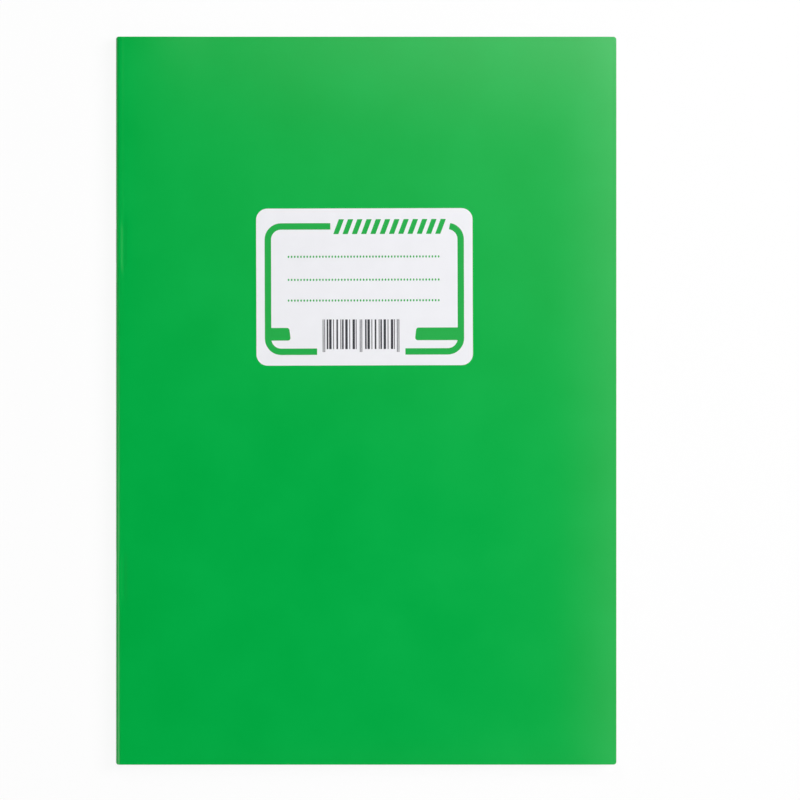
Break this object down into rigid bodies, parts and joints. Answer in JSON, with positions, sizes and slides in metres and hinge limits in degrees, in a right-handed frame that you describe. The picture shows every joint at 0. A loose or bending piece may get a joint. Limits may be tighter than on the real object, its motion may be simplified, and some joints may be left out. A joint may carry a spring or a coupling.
{
  "type": "stapled exercise book",
  "caption": "Slim stapled exercise book with a glossy green plastic cover, ruled leaves that turn, wire staples through the fold and a white name label on the front.",
  "frame": {"origin": "centre of the closed book's footprint, on the outer face of the back cover", "axes": "+X from the spine to the fore-edge, +Y from tail to head, +Z out of the front cover"},
  "size_m": [0.172, 0.25, 0.0059],
  "materials": {
    "cover_plastic": "smooth green polypropylene, soft gloss",
    "page_paper": "uncoated white writing paper, pale ruling",
    "label_paper": "coated white sticker paper with green print",
    "staple_steel": "bright drawn wire"
  },
  "bodies": {
    "back_half": {"back_cover": "cover_plastic", "leaves_31_32": "page_paper", "leaves_33_34": "page_paper", "leaves_35_36": "page_paper", "leaves_37_38": "page_paper", "leaves_39_40": "page_paper", "leaves_41_42": "page_paper", "leaves_43_44": "page_paper", "leaves_45_46": "page_paper", "leaves_47_48": "page_paper", "leaves_49_50": "page_paper", "leaves_51_52": "page_paper", "leaves_53_54": "page_paper", "leaves_55_56": "page_paper", "leaves_57_58": "page_paper", "leaves_59_60": "page_paper"},
    "leaf_01_body": {"leaf_01": "page_paper"},
    "leaf_02_body": {"leaf_02": "page_paper"},
    "leaf_03_body": {"leaf_03": "page_paper"},
    "leaf_04_body": {"leaf_04": "page_paper"},
    "leaf_05_body": {"leaf_05": "page_paper"},
    "leaf_06_body": {"leaf_06": "page_paper"},
    "leaf_07_body": {"leaf_07": "page_paper"},
    "leaf_08_body": {"leaf_08": "page_paper"},
    "leaf_09_body": {"leaf_09": "page_paper"},
    "leaf_10_body": {"leaf_10": "page_paper"},
    "leaf_11_body": {"leaf_11": "page_paper"},
    "leaf_12_body": {"leaf_12": "page_paper"},
    "leaf_13_body": {"leaf_13": "page_paper"},
    "leaf_14_body": {"leaf_14": "page_paper"},
    "leaf_15_body": {"leaf_15": "page_paper"},
    "leaf_16_body": {"leaf_16": "page_paper"},
    "leaf_17_body": {"leaf_17": "page_paper"},
    "leaf_18_body": {"leaf_18": "page_paper"},
    "leaf_19_body": {"leaf_19": "page_paper"},
    "leaf_20_body": {"leaf_20": "page_paper"},
    "leaf_21_body": {"leaf_21": "page_paper"},
    "leaf_22_body": {"leaf_22": "page_paper"},
    "leaf_23_body": {"leaf_23": "page_paper"},
    "leaf_24_body": {"leaf_24": "page_paper"},
    "leaf_25_body": {"leaf_25": "page_paper"},
    "leaf_26_body": {"leaf_26": "page_paper"},
    "leaf_27_body": {"leaf_27": "page_paper"},
    "leaf_28_body": {"leaf_28": "page_paper"},
    "leaf_29_body": {"leaf_29": "page_paper"},
    "leaf_30_body": {"leaf_30": "page_paper"},
    "front_cover_body": {"front_cover": "cover_plastic", "name_label": "label_paper"},
    "spine_body": {"cover_spine": "cover_plastic", "sheet_folds": "page_paper", "upper_staple": "staple_steel", "lower_staple": "staple_steel"}
  },
  "joints": [
    {"name": "leaf_01_turn", "type": "hinge", "parent": "back_half", "child": "leaf_01_body", "pos_m": [-0.08305, 0, 0.00291], "axis": [0, -1, 0], "range_deg": [0, 179.5], "deforming": ["cover_spine", "sheet_folds"]},
    {"name": "leaf_02_turn", "type": "hinge", "parent": "back_half", "child": "leaf_02_body", "pos_m": [-0.08305, 0, 0.00291], "axis": [0, -1, 0], "range_deg": [0, 179.39]},
    {"name": "leaf_03_turn", "type": "hinge", "parent": "back_half", "child": "leaf_03_body", "pos_m": [-0.08305, 0, 0.00291], "axis": [0, -1, 0], "range_deg": [0, 179.28]},
    {"name": "leaf_04_turn", "type": "hinge", "parent": "back_half", "child": "leaf_04_body", "pos_m": [-0.08305, 0, 0.00291], "axis": [0, -1, 0], "range_deg": [0, 179.18]},
    {"name": "leaf_05_turn", "type": "hinge", "parent": "back_half", "child": "leaf_05_body", "pos_m": [-0.08305, 0, 0.00291], "axis": [0, -1, 0], "range_deg": [0, 179.07]},
    {"name": "leaf_06_turn", "type": "hinge", "parent": "back_half", "child": "leaf_06_body", "pos_m": [-0.08305, 0, 0.00291], "axis": [0, -1, 0], "range_deg": [0, 178.96]},
    {"name": "leaf_07_turn", "type": "hinge", "parent": "back_half", "child": "leaf_07_body", "pos_m": [-0.08305, 0, 0.00291], "axis": [0, -1, 0], "range_deg": [0, 178.85]},
    {"name": "leaf_08_turn", "type": "hinge", "parent": "back_half", "child": "leaf_08_body", "pos_m": [-0.08305, 0, 0.00291], "axis": [0, -1, 0], "range_deg": [0, 178.75]},
    {"name": "leaf_09_turn", "type": "hinge", "parent": "back_half", "child": "leaf_09_body", "pos_m": [-0.08305, 0, 0.00291], "axis": [0, -1, 0], "range_deg": [0, 178.64]},
    {"name": "leaf_10_turn", "type": "hinge", "parent": "back_half", "child": "leaf_10_body", "pos_m": [-0.08305, 0, 0.00291], "axis": [0, -1, 0], "range_deg": [0, 178.53]},
    {"name": "leaf_11_turn", "type": "hinge", "parent": "back_half", "child": "leaf_11_body", "pos_m": [-0.08305, 0, 0.00291], "axis": [0, -1, 0], "range_deg": [0, 178.42]},
    {"name": "leaf_12_turn", "type": "hinge", "parent": "back_half", "child": "leaf_12_body", "pos_m": [-0.08305, 0, 0.00291], "axis": [0, -1, 0], "range_deg": [0, 178.32]},
    {"name": "leaf_13_turn", "type": "hinge", "parent": "back_half", "child": "leaf_13_body", "pos_m": [-0.08305, 0, 0.00291], "axis": [0, -1, 0], "range_deg": [0, 178.21]},
    {"name": "leaf_14_turn", "type": "hinge", "parent": "back_half", "child": "leaf_14_body", "pos_m": [-0.08305, 0, 0.00291], "axis": [0, -1, 0], "range_deg": [0, 178.1]},
    {"name": "leaf_15_turn", "type": "hinge", "parent": "back_half", "child": "leaf_15_body", "pos_m": [-0.08305, 0, 0.00291], "axis": [0, -1, 0], "range_deg": [0, 177.99]},
    {"name": "leaf_16_turn", "type": "hinge", "parent": "back_half", "child": "leaf_16_body", "pos_m": [-0.08305, 0, 0.00291], "axis": [0, -1, 0], "range_deg": [0, 177.88]},
    {"name": "leaf_17_turn", "type": "hinge", "parent": "back_half", "child": "leaf_17_body", "pos_m": [-0.08305, 0, 0.00291], "axis": [0, -1, 0], "range_deg": [0, 177.78]},
    {"name": "leaf_18_turn", "type": "hinge", "parent": "back_half", "child": "leaf_18_body", "pos_m": [-0.08305, 0, 0.00291], "axis": [0, -1, 0], "range_deg": [0, 177.67]},
    {"name": "leaf_19_turn", "type": "hinge", "parent": "back_half", "child": "leaf_19_body", "pos_m": [-0.08305, 0, 0.00291], "axis": [0, -1, 0], "range_deg": [0, 177.56]},
    {"name": "leaf_20_turn", "type": "hinge", "parent": "back_half", "child": "leaf_20_body", "pos_m": [-0.08305, 0, 0.00291], "axis": [0, -1, 0], "range_deg": [0, 177.45]},
    {"name": "leaf_21_turn", "type": "hinge", "parent": "back_half", "child": "leaf_21_body", "pos_m": [-0.08305, 0, 0.00291], "axis": [0, -1, 0], "range_deg": [0, 177.35]},
    {"name": "leaf_22_turn", "type": "hinge", "parent": "back_half", "child": "leaf_22_body", "pos_m": [-0.08305, 0, 0.00291], "axis": [0, -1, 0], "range_deg": [0, 177.24]},
    {"name": "leaf_23_turn", "type": "hinge", "parent": "back_half", "child": "leaf_23_body", "pos_m": [-0.08305, 0, 0.00291], "axis": [0, -1, 0], "range_deg": [0, 177.13]},
    {"name": "leaf_24_turn", "type": "hinge", "parent": "back_half", "child": "leaf_24_body", "pos_m": [-0.08305, 0, 0.00291], "axis": [0, -1, 0], "range_deg": [0, 177.02]},
    {"name": "leaf_25_turn", "type": "hinge", "parent": "back_half", "child": "leaf_25_body", "pos_m": [-0.08305, 0, 0.00291], "axis": [0, -1, 0], "range_deg": [0, 176.92]},
    {"name": "leaf_26_turn", "type": "hinge", "parent": "back_half", "child": "leaf_26_body", "pos_m": [-0.08305, 0, 0.00291], "axis": [0, -1, 0], "range_deg": [0, 176.81]},
    {"name": "leaf_27_turn", "type": "hinge", "parent": "back_half", "child": "leaf_27_body", "pos_m": [-0.08305, 0, 0.00291], "axis": [0, -1, 0], "range_deg": [0, 176.7]},
    {"name": "leaf_28_turn", "type": "hinge", "parent": "back_half", "child": "leaf_28_body", "pos_m": [-0.08305, 0, 0.00291], "axis": [0, -1, 0], "range_deg": [0, 176.59]},
    {"name": "leaf_29_turn", "type": "hinge", "parent": "back_half", "child": "leaf_29_body", "pos_m": [-0.08305, 0, 0.00291], "axis": [0, -1, 0], "range_deg": [0, 176.48]},
    {"name": "leaf_30_turn", "type": "hinge", "parent": "back_half", "child": "leaf_30_body", "pos_m": [-0.08305, 0, 0.00291], "axis": [0, -1, 0], "range_deg": [0, 176.38]},
    {"name": "spine_roll", "type": "hinge", "parent": "back_half", "child": "spine_body", "pos_m": [-0.08305, 0, 0.00291], "axis": [0, -1, 0], "range_deg": [0, 89.75]},
    {"name": "cover_turn", "type": "hinge", "parent": "leaf_01_body", "child": "front_cover_body", "pos_m": [-0.08305, 0, 0.00597], "axis": [0, -1, 0], "range_deg": [0, 179.5]}
  ],
  "couplings": [
    {"joint": "leaf_02_turn", "follows": "leaf_01_turn", "ratio": 0.9994},
    {"joint": "leaf_03_turn", "follows": "leaf_01_turn", "ratio": 0.9988},
    {"joint": "leaf_04_turn", "follows": "leaf_01_turn", "ratio": 0.9982},
    {"joint": "leaf_05_turn", "follows": "leaf_01_turn", "ratio": 0.9976},
    {"joint": "leaf_06_turn", "follows": "leaf_01_turn", "ratio": 0.997},
    {"joint": "leaf_07_turn", "follows": "leaf_01_turn", "ratio": 0.9964},
    {"joint": "leaf_08_turn", "follows": "leaf_01_turn", "ratio": 0.9958},
    {"joint": "leaf_09_turn", "follows": "leaf_01_turn", "ratio": 0.9952},
    {"joint": "leaf_10_turn", "follows": "leaf_01_turn", "ratio": 0.9946},
    {"joint": "leaf_11_turn", "follows": "leaf_01_turn", "ratio": 0.994},
    {"joint": "leaf_12_turn", "follows": "leaf_01_turn", "ratio": 0.9934},
    {"joint": "leaf_13_turn", "follows": "leaf_01_turn", "ratio": 0.9928},
    {"joint": "leaf_14_turn", "follows": "leaf_01_turn", "ratio": 0.9922},
    {"joint": "leaf_15_turn", "follows": "leaf_01_turn", "ratio": 0.9916},
    {"joint": "leaf_16_turn", "follows": "leaf_01_turn", "ratio": 0.991},
    {"joint": "leaf_17_turn", "follows": "leaf_01_turn", "ratio": 0.9904},
    {"joint": "leaf_18_turn", "follows": "leaf_01_turn", "ratio": 0.9898},
    {"joint": "leaf_19_turn", "follows": "leaf_01_turn", "ratio": 0.9892},
    {"joint": "leaf_20_turn", "follows": "leaf_01_turn", "ratio": 0.9886},
    {"joint": "leaf_21_turn", "follows": "leaf_01_turn", "ratio": 0.988},
    {"joint": "leaf_22_turn", "follows": "leaf_01_turn", "ratio": 0.9874},
    {"joint": "leaf_23_turn", "follows": "leaf_01_turn", "ratio": 0.9868},
    {"joint": "leaf_24_turn", "follows": "leaf_01_turn", "ratio": 0.9862},
    {"joint": "leaf_25_turn", "follows": "leaf_01_turn", "ratio": 0.9856},
    {"joint": "leaf_26_turn", "follows": "leaf_01_turn", "ratio": 0.985},
    {"joint": "leaf_27_turn", "follows": "leaf_01_turn", "ratio": 0.9844},
    {"joint": "leaf_28_turn", "follows": "leaf_01_turn", "ratio": 0.9838},
    {"joint": "leaf_29_turn", "follows": "leaf_01_turn", "ratio": 0.9832},
    {"joint": "leaf_30_turn", "follows": "leaf_01_turn", "ratio": 0.9826},
    {"joint": "spine_roll", "follows": "leaf_01_turn", "ratio": 0.5}
  ]
}
